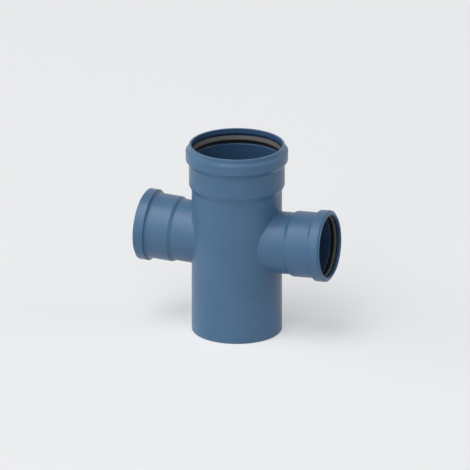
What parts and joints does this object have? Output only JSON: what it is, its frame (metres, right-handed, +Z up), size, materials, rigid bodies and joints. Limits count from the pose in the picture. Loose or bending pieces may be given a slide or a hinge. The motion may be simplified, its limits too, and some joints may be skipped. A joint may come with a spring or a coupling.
{
  "type": "double branch pipe fitting",
  "caption": "Push-fit drain fitting: a straight run with a plain spigot below and a socket above, and smaller sockets branching off both sides, each socket with a rubber lip seal.",
  "frame": {"origin": "centre of the spigot's end face, on which the fitting stands", "axes": "+Z up the main run towards its socket; +X along the right branch and -X along the left one, both rising 2.5 degrees; Y across the run"},
  "size_m": [0.2444, 0.1244, 0.2387],
  "materials": {
    "fitting_plastic": "satin grey-blue moulded polypropylene",
    "seal_rubber": "matte dark grey rubber"
  },
  "bodies": {
    "root": {"fitting_body": "fitting_plastic", "main_seal_ring": "seal_rubber", "right_branch_seal_ring": "seal_rubber", "left_branch_seal_ring": "seal_rubber"}
  },
  "joints": []
}
